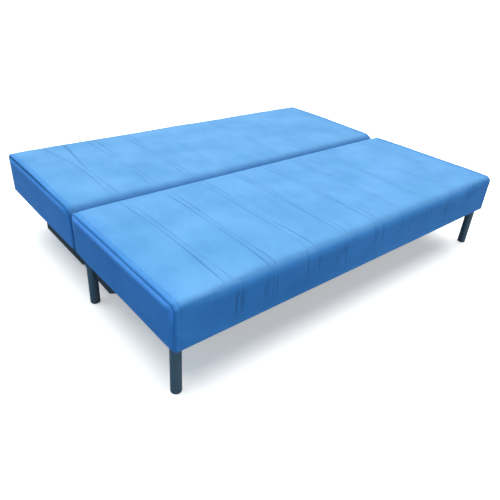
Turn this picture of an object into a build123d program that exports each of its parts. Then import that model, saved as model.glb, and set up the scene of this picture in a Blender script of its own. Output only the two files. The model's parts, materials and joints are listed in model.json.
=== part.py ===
from build123d import *
import os
from math import atan2, cos, degrees, radians, sin

# Futon sofa bed, lying flat. Millimetres. Origin on the floor under the middle of the bed,
# +X along the length, +Y from the front of the seat to the rear of the back rest, +Z up.

# Overall sizes
LENGTH = 1800
DEPTH = 1390
TOP = 364
THICK = 168
SEAT_DEPTH = 700
BACK_DEPTH = 680
HALF = LENGTH / 2
UNDER = TOP - THICK

# Cushion outlines: the joint between seat and back is a narrow valley
SEAT_Y = (-DEPTH / 2, -DEPTH / 2 + SEAT_DEPTH)
BACK_Y = (DEPTH / 2 - BACK_DEPTH, DEPTH / 2)
SEAT_FRONT_R = 35
BACK_REAR_R = 18
SEAT_JOINT_R = 20
BACK_JOINT_R = 60
COVER = 3
FLAP = 40
SOFT_GAP = 0.3

# Main hinge: its axis runs along X in the valley, a little below the lying surface
PIVOT_Y = (SEAT_Y[1] + BACK_Y[0]) / 2
PIVOT_Z = TOP - 30
PIVOT_R = 5
RUNNING_GAP = 0.05
EAR_R = 14
RATCHET_R = 18
CLICK_DEG = 15
CLICKS = 6
PAWL_DEG = 8
NOTCH_DEPTH = 3.4
NOTCH_HALF = 1.9

# Frame timber
RAIL = 25
SEAT_END_RAIL = 20
RAIL_Z = (UNDER + COVER, UNDER + COVER + 66)
CROSS_Z = (RAIL_Z[0], RAIL_Z[0] + 40)
CROSS_X = (-460, 0, 460)
BLOCK_SIDE = 60

# Suspension and padding
SLATS = 12
SLAT_STEP = 140
SLAT_W = 53
SLAT_Z = (RAIL_Z[1] + 1.5, RAIL_Z[1] + 9.5)
HOLDER_W = 58
HOLDER_Z = (RAIL_Z[1], RAIL_Z[1] + 11)
HOLDER_GAP = 0.2
FELT_Z = (HOLDER_Z[1] + 0.5, HOLDER_Z[1] + 4)
FOAM_Z = FELT_Z[1] + 0.5

# Steel side plates, one pair at each end, and their place across the end
PLATE = 4
SEAT_PLATE_X = (873, 877)
BACK_PLATE_X = (868, 872)
RATCHET_X = (877, 883)
SEAT_BAR_Z = (124, 134)
BACK_BAR_Z = 119
PLATE_TOP = 248
FLANGE = 30
SEAT_BAR_FRONT = -300
BACK_BAR_REAR = 382
NOSE = 75
BOLT_R = 4
SLOT_X = (861, 890)

# Legs: round tube on plastic glides
TUBE_R = 19
TUBE_WALL = 1.5
GLIDE = 4
FRONT_LEG = (873, -658)
MID_LEG = (875, -78)
MID_LEG_TOP = UNDER - 4
MID_BOLT_Z = 176
REAR_LEG = (460, 605)
REAR_PIVOT = (597, 170)
REAR_PIVOT_R = 4
BRACKET = 3
SCREW_R = 2.5

os.makedirs("parts", exist_ok=True)


def save(name, shape):
    """Write one named piece, or one group of identical pieces."""
    solids = list(shape) if isinstance(shape, list) else [shape]
    whole = Compound(children=solids) if len(solids) > 1 else solids[0]
    export_step(whole, f"parts/{name}.step")


def block(x, y, z):
    """Box between two positions on each axis."""
    size = [b - a for a, b in (x, y, z)]
    middle = [(a + b) / 2 for a, b in (x, y, z)]
    return Pos(*middle) * Box(*size)


def rod_x(x, y, z, radius):
    """Round bar along X between two positions."""
    bar = Cylinder(radius, x[1] - x[0], align=(Align.CENTER, Align.CENTER, Align.MIN))
    return Pos(x[0], y, z) * Rot(0, 90, 0) * bar


def rod_z(x, y, z, radius):
    """Round bar along Z between two heights."""
    bar = Cylinder(radius, z[1] - z[0], align=(Align.CENTER, Align.CENTER, Align.MIN))
    return Pos(x, y, z[0]) * bar


def slab(outline, x):
    """Solid of a side outline, drawn as (y, z), between two positions along the length."""
    return Pos(x[0], 0, 0) * extrude(Plane.YZ * outline, x[1] - x[0])


def polygon(*points):
    """Flat outline through the given (y, z) points."""
    return make_face(Polyline(*points, close=True))


def disc(y, z, radius):
    """Flat round outline in the side view."""
    return Pos(y, z) * Circle(radius)


def mirrored(shape):
    """The same piece at the other end of the bed."""
    return mirror(shape, about=Plane.YZ)


def cushion(y, radii, inset=0, bottom=UNDER):
    """Side outline of a cushion: flat underside, rounded front and rear upper edges."""
    y0, y1 = y[0] + inset, y[1] - inset
    z0, z1 = bottom, TOP - inset
    front, rear = (r - inset for r in radii)
    bend = cos(radians(45))
    edges = [
        Line((y0, z0), (y0, z1 - front)),
        ThreePointArc(
            (y0, z1 - front),
            (y0 + front * (1 - bend), z1 - front * (1 - bend)),
            (y0 + front, z1),
        ),
        Line((y0 + front, z1), (y1 - rear, z1)),
        ThreePointArc(
            (y1 - rear, z1),
            (y1 - rear * (1 - bend), z1 - rear * (1 - bend)),
            (y1, z1 - rear),
        ),
        Line((y1, z1 - rear), (y1, z0)),
        Line((y1, z0), (y0, z0)),
    ]
    return make_face(edges)


# ---------------------------------------------------------------- pivot pockets and plate slots


def pivot_pocket(radius):
    """Round hollow about the hinge axis at both ends, which the ears turn in."""
    hollow = rod_x(SLOT_X, PIVOT_Y, PIVOT_Z, radius)
    return hollow + mirrored(hollow)


def seat_slots():
    """Room in the seat's soft parts for its own plate's neck and for the back plate's ear."""
    neck = block((SEAT_PLATE_X[0] - 1, SEAT_PLATE_X[1] + 1), (-45, PIVOT_Y), (UNDER - 1, PIVOT_Z))
    return neck + mirrored(neck) + pivot_pocket(EAR_R + 1.5)


def back_slots():
    """Room in the back's soft parts for its plate, the pawl, and the seat's ear and ratchet."""
    pawl_room = block(SLOT_X, (PIVOT_Y, PIVOT_Y + 44), (PLATE_TOP - 5, PIVOT_Z + 10))
    plate_room = block((BACK_PLATE_X[0] - 1, BACK_PLATE_X[1]), (BACK_Y[0] - 1, 400), (UNDER - 1, 260))
    room = pawl_room + plate_room
    return room + mirrored(room) + pivot_pocket(RATCHET_R + 1.5)


# ---------------------------------------------------------------- one padded section


def slats(y0, y1, grow=0):
    """Bentwood slats lying front to rear on top of the long rails."""
    places = [(i - (SLATS - 1) / 2) * SLAT_STEP for i in range(SLATS)]
    half = SLAT_W / 2 + grow
    height = (SLAT_Z[0] - grow, SLAT_Z[1] + grow)
    return [block((x - half, x + half), (y0 - grow, y1 + grow), height) for x in places]


def slat_holders(y0, y1):
    """A plastic pocket on the long rails for both ends of every slat."""
    holders = []
    for room in slats(y0, y1, HOLDER_GAP):
        x = room.center().X
        for y in ((y0 - 3, y0 + 20), (y1 - 20, y1 + 3)):
            holders.append(block((x - HOLDER_W / 2, x + HOLDER_W / 2), y, HOLDER_Z) - room)
    return holders


def padded_section(name, y, radii, end_rail, rail_end, slots, holes):
    """Timber frame, suspension, foam and cover of one section, from y[0] to y[1]."""
    front, rear = y[0] + COVER, y[1] - COVER
    inner_x = HALF - COVER - end_rail

    # timber: two end rails over the full depth, two long rails between them, three cross rails
    end = block((inner_x, HALF - COVER), (front, rear), RAIL_Z)
    save(f"{name}_right_rail", end - holes)
    save(f"{name}_left_rail", mirrored(end) - holes)
    save(f"{name}_front_rail", block((-rail_end[0], rail_end[0]), (front, front + RAIL), RAIL_Z) - holes)
    save(f"{name}_rear_rail", block((-rail_end[1], rail_end[1]), (rear - RAIL, rear), RAIL_Z) - holes)
    inside = (front + RAIL, rear - RAIL)
    save(f"{name}_cross_rails", [block((x - 20, x + 20), inside, CROSS_Z) - holes for x in CROSS_X])

    # suspension: slats in plastic holders on top of the long rails, under a felt pad
    ends = (front + 5, rear - 5)
    save(f"{name}_slats", slats(*ends))
    save(f"{name}_slat_holders", slat_holders(*ends))
    save(f"{name}_felt_pad", block((-850, 850), (front + 6, rear - 6), FELT_Z))

    # foam block, with the same rounded upper edges as the cover
    inset = COVER + SOFT_GAP
    foam = slab(cushion(y, radii, inset, FOAM_Z), (-HALF + inset, HALF - inset))
    save(f"{name}_foam", foam - slots)

    # cover: one panel wraps rear, top and front; a flat panel closes each end
    skin = cushion(y, radii) - cushion(y, radii, COVER, UNDER + COVER)
    wrap = slab(skin, (-HALF + COVER, HALF - COVER))
    opening = block((-HALF, HALF), (y[0] + FLAP, y[1] - FLAP), (UNDER - 1, RAIL_Z[0]))
    save(f"{name}_cover", wrap - opening - slots - holes)
    panel = slab(cushion(y, radii), (HALF - COVER, HALF))
    fold = block((inner_x, HALF - COVER), (y[0] + FLAP, y[1] - FLAP), (UNDER, RAIL_Z[0]))
    panel = panel + fold
    save(f"{name}_end_panel_right", panel - holes)
    save(f"{name}_end_panel_left", mirrored(panel) - holes)

    # thin cloth under the frame
    cloth = block((-860, 860), (y[0] + FLAP, y[1] - FLAP), (RAIL_Z[0] - 1, RAIL_Z[0]))
    save(f"{name}_dust_cover", cloth - holes)


def corner_blocks(name, y_corner, into, x_corner, holes):
    """Three-cornered glue blocks behind two corners of a frame."""
    x1 = x_corner
    points = [(x1, y_corner), (x1 - BLOCK_SIDE, y_corner), (x1, y_corner + into * BLOCK_SIDE)]
    wedge = extrude(make_face(Polyline(*points, close=True)), CROSS_Z[1] - CROSS_Z[0])
    wedge = Pos(0, 0, CROSS_Z[0]) * wedge
    save(name, [wedge - holes, mirrored(wedge) - holes])


# ---------------------------------------------------------------- legs


def leg_tube(x, y, top, bottom=GLIDE):
    """Open round tube standing on its glide."""
    return rod_z(x, y, (bottom, top), TUBE_R) - rod_z(x, y, (bottom - 1, top + 1), TUBE_R - TUBE_WALL)


def leg_glide(x, y):
    """Plastic foot cap with a rounded edge and a plug that fills the tube's end."""
    cap = rod_z(x, y, (0, GLIDE), TUBE_R - 0.5)
    cap = chamfer(cap.edges().group_by(Axis.Z)[0], 1.5)
    return cap + rod_z(x, y, (GLIDE - 0.01, GLIDE + 14), TUBE_R - TUBE_WALL - RUNNING_GAP)


def wood_screw(x, y, z):
    """Screw up into the frame from a plate whose underside is at z."""
    return rod_z(x, y, (z - 3, z), 2 * SCREW_R) + rod_z(x, y, (z - 0.01, z + 26), SCREW_R)


def both_ends(places):
    """The same (x, y) places at the right and left ends."""
    return [(s * x, y) for s in (1, -1) for x, y in places]


FRONT_PLATE_Z = (UNDER - 3, UNDER)
FRONT_SCREWS = both_ends([(845, -683), (845, -633), (889, -683), (889, -633)])
BRACKET_Z = (RAIL_Z[0] - 1 - BRACKET, RAIL_Z[0] - 1)
BRACKET_SCREWS = both_ends([(REAR_LEG[0] + dx, REAR_PIVOT[0] + dy) for dx in (-13, 13) for dy in (-22, 22)])
PLATE_BOLT_Z = 222
SEAT_BOLTS_Y = (-270, -200, -120, -60)
BACK_BOLTS_Y = (70, 160, 260, 350)

seat_screws = [wood_screw(x, y, FRONT_PLATE_Z[0]) for x, y in FRONT_SCREWS]
back_screws = [wood_screw(x, y, BRACKET_Z[0]) for x, y in BRACKET_SCREWS]


def screw_holes(places, z):
    """Pilot holes for the screws, a hair wider than their shanks."""
    holes = [rod_z(x, y, (z, z + 28), SCREW_R + RUNNING_GAP) for x, y in places]
    return Part() + holes


def bolt_holes(x, ys):
    """Cross holes through a side plate and the end rail that it is bolted to."""
    holes = [rod_x((x - 8, HALF - COVER - 5), y, PLATE_BOLT_Z, BOLT_R + RUNNING_GAP) for y in ys]
    holes += [mirrored(h) for h in holes]
    return Part() + holes


seat_holes = screw_holes(FRONT_SCREWS, UNDER - 4) + bolt_holes(SEAT_PLATE_X[0], SEAT_BOLTS_Y)
back_holes = screw_holes(BRACKET_SCREWS, BRACKET_Z[0] - 1) + bolt_holes(BACK_PLATE_X[0], BACK_BOLTS_Y)


def plate_bolts(plate_x, ys):
    """Hexagon bolts through a side plate into the end rail, at both ends of the bed."""
    bolts = []
    for y in ys:
        shank = rod_x((plate_x[0] - 0.01, HALF - COVER - 6), y, PLATE_BOLT_Z, BOLT_R)
        hexagon = Plane.YZ * Pos(y, PLATE_BOLT_Z) * RegularPolygon(6.5, 6, major_radius=False)
        head = Pos(plate_x[0] - 5, 0, 0) * extrude(hexagon, 5)
        bolts += [shank + head, mirrored(shank + head)]
    return bolts


# ---------------------------------------------------------------- seat: frame, padding, legs

padded_section(
    "seat",
    SEAT_Y,
    (SEAT_FRONT_R, SEAT_JOINT_R),
    SEAT_END_RAIL,
    (HALF - COVER - SEAT_END_RAIL, SEAT_PLATE_X[0]),
    seat_slots(),
    seat_holes,
)
corner_blocks(
    "seat_corner_blocks", SEAT_Y[0] + COVER + RAIL, 1, HALF - COVER - SEAT_END_RAIL, seat_holes
)

front_plate = block((838, 896), (-691, -625), FRONT_PLATE_Z)
save("front_leg_plates", [front_plate - seat_holes, mirrored(front_plate) - seat_holes])
save("front_leg_right", leg_tube(*FRONT_LEG, FRONT_PLATE_Z[0]))
save("front_leg_left", mirrored(leg_tube(*FRONT_LEG, FRONT_PLATE_Z[0])))
front_glide = leg_glide(*FRONT_LEG)
save("front_leg_glides", [front_glide, mirrored(front_glide)])
save("front_leg_screws", seat_screws)

# the middle legs' tubes are slotted over the seat plates and held by a cross bolt
mid_bolt_hole = rod_x((840, 899), MID_LEG[1], MID_BOLT_Z, BOLT_R + RUNNING_GAP)
mid_slot = block(
    (SEAT_PLATE_X[0] - 0.2, SEAT_PLATE_X[1] + 0.2),
    (MID_LEG[1] - TUBE_R - 1, MID_LEG[1] + TUBE_R + 1),
    (SEAT_BAR_Z[0] + 2, MID_LEG_TOP + 1),
)
mid_leg = leg_tube(*MID_LEG, MID_LEG_TOP) - mid_slot - mid_bolt_hole
save("mid_leg_right", mid_leg)
save("mid_leg_left", mirrored(mid_leg))
mid_bolt = rod_x((MID_LEG[0] - TUBE_R - 4, MID_LEG[0] + TUBE_R + 0.01), MID_LEG[1], MID_BOLT_Z, BOLT_R)
for x in (MID_LEG[0] - TUBE_R - 4, MID_LEG[0] + TUBE_R):
    mid_bolt += rod_x((x, x + 4), MID_LEG[1], MID_BOLT_Z, 6.5)
save("mid_leg_bolts", [mid_bolt, mirrored(mid_bolt)])
mid_glide = leg_glide(*MID_LEG)
save("mid_leg_glides", [mid_glide, mirrored(mid_glide)])

# ---------------------------------------------------------------- back rest: frame and padding

padded_section(
    "back",
    BACK_Y,
    (BACK_JOINT_R, BACK_REAR_R),
    RAIL,
    (BACK_PLATE_X[0], HALF - COVER - RAIL),
    back_slots(),
    back_holes,
)
corner_blocks(
    "back_corner_blocks", BACK_Y[1] - COVER - RAIL, -1, HALF - COVER - RAIL, back_holes
)

# ---------------------------------------------------------------- click-clack mechanism

pivot_hole = rod_x((850, 890), PIVOT_Y, PIVOT_Z, PIVOT_R + RUNNING_GAP)

# seat side plate: bar below the frame, web up the end rail, neck rising to the hinge axis
seat_rear = SEAT_Y[1] - 1
bar_front = SEAT_BAR_FRONT + NOSE
seat_outline = polygon(
    (SEAT_BAR_FRONT, SEAT_BAR_Z[0] + 46),
    (bar_front, SEAT_BAR_Z[0]),
    (seat_rear, SEAT_BAR_Z[1]),
    (seat_rear, PLATE_TOP),
    (PIVOT_Y + EAR_R - 7, PIVOT_Z - EAR_R),
    (PIVOT_Y + EAR_R, PIVOT_Z),
    (PIVOT_Y - EAR_R, PIVOT_Z),
    (seat_rear - 40, PLATE_TOP),
    (SEAT_BAR_FRONT, PLATE_TOP),
)
seat_plate = slab(seat_outline + disc(PIVOT_Y, PIVOT_Z, EAR_R), SEAT_PLATE_X)
seat_flange = polygon(
    (bar_front, SEAT_BAR_Z[0]),
    (seat_rear, SEAT_BAR_Z[1]),
    (seat_rear, SEAT_BAR_Z[1] + PLATE),
    (bar_front, SEAT_BAR_Z[0] + PLATE),
)
seat_plate += slab(seat_flange, (SEAT_PLATE_X[0] - FLANGE, SEAT_PLATE_X[0]))
leg_room = rod_z(*MID_LEG, (SEAT_BAR_Z[0] - 5, SEAT_BAR_Z[0] + 20), TUBE_R + 0.3)
leg_room -= block(SEAT_PLATE_X, (MID_LEG[1] - 30, MID_LEG[1] + 30), (SEAT_BAR_Z[0] - 9, UNDER))
seat_plate = seat_plate - leg_room - pivot_hole - seat_holes - mid_bolt_hole
save("seat_plate_right", seat_plate)
save("seat_plate_left", mirrored(seat_plate))
save("seat_plate_bolts", plate_bolts(SEAT_PLATE_X, SEAT_BOLTS_Y))

# back side plate: the same bar carried on behind the joint, with its own neck and ear
back_front = BACK_Y[0] + COVER + 0.5
back_outline = polygon(
    (back_front, BACK_BAR_Z),
    (BACK_BAR_REAR, BACK_BAR_Z),
    (BACK_BAR_REAR, PLATE_TOP),
    (back_front + 34, PLATE_TOP),
    (PIVOT_Y + 40, PIVOT_Z - 24),
    (PIVOT_Y + 32, PIVOT_Z - 12),
    (PIVOT_Y + 5, PIVOT_Z + 13),
    (PIVOT_Y - 4, PIVOT_Z - 12),
    (back_front, PLATE_TOP + 10),
)
back_plate = slab(back_outline + disc(PIVOT_Y, PIVOT_Z, EAR_R), BACK_PLATE_X)
back_plate += block(
    (BACK_PLATE_X[0] - FLANGE, BACK_PLATE_X[0]),
    (back_front + 4, BACK_BAR_REAR),
    (BACK_BAR_Z, BACK_BAR_Z + PLATE),
)

# pawl: a lever on a pin in the back plate, with a nose that drops between the ratchet's teeth
PAWL_PIN = (PIVOT_Y + 26.5, PIVOT_Z - 22)
PAWL_PIN_R = 3
pawl_pin_hole = rod_x((860, 886), *PAWL_PIN, PAWL_PIN_R)
back_plate = back_plate - pivot_hole - back_holes - pawl_pin_hole
save("back_plate_right", back_plate)
save("back_plate_left", mirrored(back_plate))
save("back_plate_bolts", plate_bolts(BACK_PLATE_X, BACK_BOLTS_Y))

pawl_outline = polygon(
    (PIVOT_Y + RATCHET_R + 0.6, PIVOT_Z),
    (PIVOT_Y + 23, PIVOT_Z - 2),
    (PAWL_PIN[0] - 5, PAWL_PIN[1]),
    (PAWL_PIN[0] + 5, PAWL_PIN[1]),
    (PIVOT_Y + 28, PIVOT_Z + 4),
    (PIVOT_Y + 23, PIVOT_Z + 4),
    (PIVOT_Y + 23, PIVOT_Z + 2),
)
pawl = slab(pawl_outline + disc(*PAWL_PIN, 6), (RATCHET_X[0] + 0.5, RATCHET_X[1] - 0.5))
pawl -= rod_x((870, 890), *PAWL_PIN, PAWL_PIN_R + RUNNING_GAP)
save("pawl_right", pawl)
save("pawl_left", mirrored(pawl))

pin = rod_x((BACK_PLATE_X[0], RATCHET_X[1] + 1), *PAWL_PIN, PAWL_PIN_R)
pin += rod_x((RATCHET_X[1] + 1, RATCHET_X[1] + 3), *PAWL_PIN, 5)
save("pawl_pins", [pin, mirrored(pin)])

# pawl spring: three turns of wire round the pin, between the pawl and the back plate
coil = Helix(pitch=1.2, height=3.6, radius=PAWL_PIN_R + 1)
coil_wire = sweep(Plane(origin=coil @ 0, z_dir=coil % 0) * Circle(0.45), path=coil)
pawl_spring = Pos(BACK_PLATE_X[1] + 0.7, *PAWL_PIN) * Rot(0, 90, 0) * coil_wire
save("pawl_springs", [pawl_spring, mirrored(pawl_spring)])

# ratchet: toothed quarter on the seat plate's ear; each notch is where the nose lands
nose_y = PIVOT_Y + RATCHET_R + 0.6 - PAWL_PIN[0]
nose_z = PIVOT_Z - PAWL_PIN[1]
turn = radians(PAWL_DEG)
landed_y = PAWL_PIN[0] + nose_y * cos(turn) - nose_z * sin(turn) - PIVOT_Y
landed_z = PAWL_PIN[1] + nose_y * sin(turn) + nose_z * cos(turn) - PIVOT_Z
first_notch = degrees(atan2(landed_z, landed_y))
teeth = Circle(RATCHET_R) & Pos(RATCHET_R - 5, 0) * Rectangle(2 * RATCHET_R, 3 * RATCHET_R)
teeth += Circle(EAR_R - 2)
for k in range(CLICKS):
    notch = make_face(
        Polyline(
            (RATCHET_R - NOTCH_DEPTH, 0),
            (RATCHET_R + 1, NOTCH_HALF * (1 + 1 / NOTCH_DEPTH)),
            (RATCHET_R + 1, -NOTCH_HALF * (1 + 1 / NOTCH_DEPTH)),
            close=True,
        )
    )
    teeth -= Rot(0, 0, first_notch + k * CLICK_DEG) * notch
ratchet = slab(Pos(PIVOT_Y, PIVOT_Z) * teeth, RATCHET_X) - pivot_hole
save("ratchet_right", ratchet)
save("ratchet_left", mirrored(ratchet))

# pivot bolt with head, a washer between the two ears, and a lock nut
bolt = rod_x((BACK_PLATE_X[0] - 5, RATCHET_X[1] + 0.01), PIVOT_Y, PIVOT_Z, PIVOT_R)
bolt += rod_x((RATCHET_X[1], RATCHET_X[1] + 5), PIVOT_Y, PIVOT_Z, 8)
save("pivot_bolts", [bolt, mirrored(bolt)])
washer = rod_x((BACK_PLATE_X[1] + 0.1, SEAT_PLATE_X[0] - 0.1), PIVOT_Y, PIVOT_Z, 9)
washer -= pivot_hole
nut = Plane.YZ * Pos(PIVOT_Y, PIVOT_Z) * RegularPolygon(8, 6, major_radius=False)
nut = Pos(BACK_PLATE_X[0] - 4.7, 0, 0) * extrude(nut, 4.5)
nut -= pivot_hole
save("pivot_washers", [washer, mirrored(washer)])
save("pivot_nuts", [nut, mirrored(nut)])

# ---------------------------------------------------------------- folding rear legs

# U-shaped bracket under a cross rail: base plate and two ears that carry the leg's bolt
rear_x = REAR_LEG[0]
ear_x = TUBE_R + 1
bracket = block((rear_x - 28, rear_x + 28), (REAR_PIVOT[0] - 30, REAR_PIVOT[0] + 30), BRACKET_Z)
for side in (-1, 1):
    x = sorted((rear_x + side * ear_x, rear_x + side * (ear_x + BRACKET)))
    ear = block(x, (REAR_PIVOT[0] - 20, REAR_PIVOT[0] + 20), (REAR_PIVOT[1], BRACKET_Z[0]))
    bracket += ear + rod_x(x, *REAR_PIVOT, 16)
bracket -= rod_x((rear_x - 40, rear_x + 40), *REAR_PIVOT, REAR_PIVOT_R)
bracket -= back_holes
save("rear_leg_brackets", [bracket, mirrored(bracket)])
save("rear_leg_screws", back_screws)

rear_bolt = rod_x((rear_x - 27, rear_x + 27), *REAR_PIVOT, REAR_PIVOT_R)
for side in (-1, 1):
    x = sorted((rear_x + side * (ear_x + BRACKET), rear_x + side * (ear_x + BRACKET + 5)))
    rear_bolt += rod_x(x, *REAR_PIVOT, 7)
save("rear_leg_bolts", [rear_bolt, mirrored(rear_bolt)])

# the leg hangs on the bolt, whose axis is 8 mm ahead of the tube's, so that weight holds it open
rear_top = REAR_PIVOT[1] + 10
rear_leg = leg_tube(*REAR_LEG, rear_top)
rear_leg -= rod_x((rear_x - 40, rear_x + 40), *REAR_PIVOT, REAR_PIVOT_R + RUNNING_GAP)
rear_glide = leg_glide(*REAR_LEG)
save("rear_leg_right", rear_leg)
save("rear_leg_left", mirrored(rear_leg))
save("rear_glide_right", rear_glide)
save("rear_glide_left", mirrored(rear_glide))
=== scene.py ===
import bpy
import json
import math
import numpy as np
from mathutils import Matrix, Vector


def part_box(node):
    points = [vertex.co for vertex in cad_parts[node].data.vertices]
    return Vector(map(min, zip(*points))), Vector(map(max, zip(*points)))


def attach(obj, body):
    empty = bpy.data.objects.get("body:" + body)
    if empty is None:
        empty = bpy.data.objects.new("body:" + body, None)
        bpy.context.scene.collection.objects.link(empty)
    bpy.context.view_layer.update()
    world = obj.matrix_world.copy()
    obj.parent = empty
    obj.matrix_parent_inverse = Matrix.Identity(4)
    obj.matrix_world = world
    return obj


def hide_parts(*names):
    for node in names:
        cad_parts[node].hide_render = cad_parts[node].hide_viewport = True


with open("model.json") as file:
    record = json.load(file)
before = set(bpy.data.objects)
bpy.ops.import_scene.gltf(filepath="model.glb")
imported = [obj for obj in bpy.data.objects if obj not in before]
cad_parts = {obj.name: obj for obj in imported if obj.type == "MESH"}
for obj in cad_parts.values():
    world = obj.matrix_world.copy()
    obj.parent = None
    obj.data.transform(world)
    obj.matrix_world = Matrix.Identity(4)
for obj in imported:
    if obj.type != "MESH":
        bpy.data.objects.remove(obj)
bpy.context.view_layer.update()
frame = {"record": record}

# ---------------------------------------------------------------- camera, light and floor
# A small studio: broad soft light from above, a cool fill at the left end, a warm one in front,
# and a pale floor that runs on behind the bed.

scene = bpy.context.scene
camera = bpy.data.objects.new("camera", bpy.data.cameras.new("camera"))
camera.data.sensor_width = 36
camera.data.lens = 35.8
camera.location = (-1.481, -1.636, 1.208)
camera.rotation_euler = (math.radians(59.4), math.radians(-3.61), math.radians(-39.87))
scene.collection.objects.link(camera)
scene.camera = camera


def softbox(name, place, aim, size, power, colour=(1, 1, 1)):
    """A rectangular area lamp at a place, turned to face a point."""
    lamp = bpy.data.lights.new(name, "AREA")
    lamp.shape = "RECTANGLE"
    lamp.size, lamp.size_y = size
    lamp.energy = power
    lamp.color = colour
    holder = bpy.data.objects.new(name, lamp)
    holder.location = place
    toward = Vector(aim) - Vector(place)
    holder.rotation_euler = toward.to_track_quat("-Z", "Y").to_euler()
    scene.collection.objects.link(holder)


softbox("left_fill", (-3.6, -0.2, 1.6), (-0.9, 0, 0.3), (2.0, 1.6), 6, (0.08, 0.6, 1.0))
softbox("front_fill", (1.2, -4.2, 0.9), (0.2, -0.7, 0.25), (2.4, 1.0), 24, (1.0, 0.82, 0.66))

overhead = bpy.data.objects.new("overhead", bpy.data.lights.new("overhead", "SUN"))
overhead.data.energy = 4.5
overhead.data.color = (1.0, 0.95, 0.88)
overhead.data.angle = math.radians(80)
overhead.rotation_euler = (math.radians(-14), math.radians(10), 0)
scene.collection.objects.link(overhead)

# the room is dim for the bed, and plain white where the camera looks past the floor
studio = bpy.data.worlds.new("studio")
scene.world = studio
studio.use_nodes = True
room = studio.node_tree.nodes
backdrop = room["Background"]
room_seen = room.new("ShaderNodeLightPath").outputs["Is Camera Ray"]
room_tone = room.new("ShaderNodeMix")
room_tone.data_type = "RGBA"
room_tone.inputs["A"].default_value = (0.075, 0.160, 0.245, 1)
room_tone.inputs["B"].default_value = (1, 1, 1, 1)
studio.node_tree.links.new(room_seen, room_tone.inputs["Factor"])
studio.node_tree.links.new(room_tone.outputs["Result"], backdrop.inputs["Color"])
scene.view_settings.view_transform = "Standard"


def plain_material(name, colour, roughness):
    """A new Principled material with its colour and roughness set; returns it and its shader."""
    made = bpy.data.materials.new(name)
    made.use_nodes = True
    shader = made.node_tree.nodes["Principled BSDF"]
    shader.inputs["Base Color"].default_value = (*colour, 1)
    shader.inputs["Roughness"].default_value = roughness
    return made, shader


def mesh_piece(name, points, faces, smooth=True):
    """A linked object from an (n, 3) array of points in metres and a list of faces."""
    mesh = bpy.data.meshes.new(name)
    mesh.from_pydata(np.asarray(points).tolist(), [], [list(face) for face in faces])
    mesh.polygons.foreach_set("use_smooth", [smooth] * len(mesh.polygons))
    piece = bpy.data.objects.new(name, mesh)
    scene.collection.objects.link(piece)
    return piece


# the floor is near white where the camera sees it, and dim and bluish for the light it throws back
FLOOR_REACH = 60
floor = mesh_piece(
    "floor",
    [(FLOOR_REACH * a, FLOOR_REACH * b, 0) for a, b in ((-1, -1), (1, -1), (1, 1), (-1, 1))],
    [(0, 1, 2, 3)],
)
floor_paint, floor_shader = plain_material("floor_paint", (0.9, 0.9, 0.9), 0.9)
floor_nodes, floor_links = floor_paint.node_tree.nodes, floor_paint.node_tree.links
floor_seen = floor_nodes.new("ShaderNodeLightPath").outputs["Is Camera Ray"]
floor_tone = floor_nodes.new("ShaderNodeMix")
floor_tone.data_type = "RGBA"
floor_tone.inputs["A"].default_value = (0.20, 0.33, 0.42, 1)
floor_tone.inputs["B"].default_value = (0.96, 0.96, 0.96, 1)
floor_links.new(floor_seen, floor_tone.inputs["Factor"])
floor_shader.inputs["Emission Color"].default_value = (1, 1, 1, 1)
floor_glow = floor_nodes.new("ShaderNodeMapRange")
floor_glow.inputs["To Max"].default_value = 0.42
floor_links.new(floor_seen, floor_glow.inputs["Value"])
floor_links.new(floor_glow.outputs["Result"], floor_shader.inputs["Emission Strength"])
floor_links.new(floor_tone.outputs["Result"], floor_shader.inputs["Base Color"])
floor.data.materials.append(floor_paint)

# ---------------------------------------------------------------- velvet
# Short-pile blue velvet, brushed by hand in broad patches. Its colour holds painted light: paler
# on top as painted light, deeper on the sides and darkest in the creases as painted shade, with a
# painted highlight on rolled edges; fibre ends make a fine grain.


def noise(nodes, links, coords, scale, detail, stretch=(1, 1, 1)):
    """A noise texture on the given coordinates, with its own stretch along X, Y and Z."""
    turn = nodes.new("ShaderNodeMapping")
    turn.inputs["Scale"].default_value = stretch
    links.new(coords, turn.inputs["Vector"])
    texture = nodes.new("ShaderNodeTexNoise")
    texture.inputs["Scale"].default_value = scale
    texture.inputs["Detail"].default_value = detail
    links.new(turn.outputs["Vector"], texture.inputs["Vector"])
    return texture.outputs["Fac"]


def ramp(nodes, links, factor, low, high, at=(0.3, 0.7)):
    """A colour ramp between two colours over the stated part of a factor's range."""
    colours = nodes.new("ShaderNodeValToRGB")
    for stop, place, colour in zip(colours.color_ramp.elements, at, (low, high)):
        stop.position = place
        stop.color = (*colour, 1)
    links.new(factor, colours.inputs["Fac"])
    return colours.outputs["Color"]


def attribute_mix(nodes, links, name, low, high):
    """Colour between low, a socket, and high, a socket or a colour, by a point attribute."""
    mask = nodes.new("ShaderNodeAttribute")
    mask.attribute_name = name
    mixed = nodes.new("ShaderNodeMix")
    mixed.data_type = "RGBA"
    links.new(mask.outputs["Fac"], mixed.inputs["Factor"])
    links.new(low, mixed.inputs["A"])
    if isinstance(high, tuple):
        mixed.inputs["B"].default_value = high
    else:
        links.new(high, mixed.inputs["B"])
    return mixed.outputs["Result"]


# painted light and shade: the top pile colour is a lit copy and the side pile colour a shaded copy
# of one velvet
LIT_TOP_PILE = ((0.108, 0.335, 0.650), (0.140, 0.382, 0.720))
SHADED_SIDE_PILE = ((0.040, 0.245, 0.640), (0.054, 0.280, 0.720))
# painted highlight of the rolled edges
PAINTED_HIGHLIGHT_PILE = (0.10, 0.38, 0.95, 1)
# painted shade in creases, tucks and seams
CREASE_SHADE_PILE = (0.02, 0.09, 0.26, 1)
BRUSH_MARKS = ((0.86, 0.89, 0.93), (1, 1, 1))
FIBRE_SHADES = ((0.72, 0.72, 0.74), (1, 1, 1))


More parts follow.
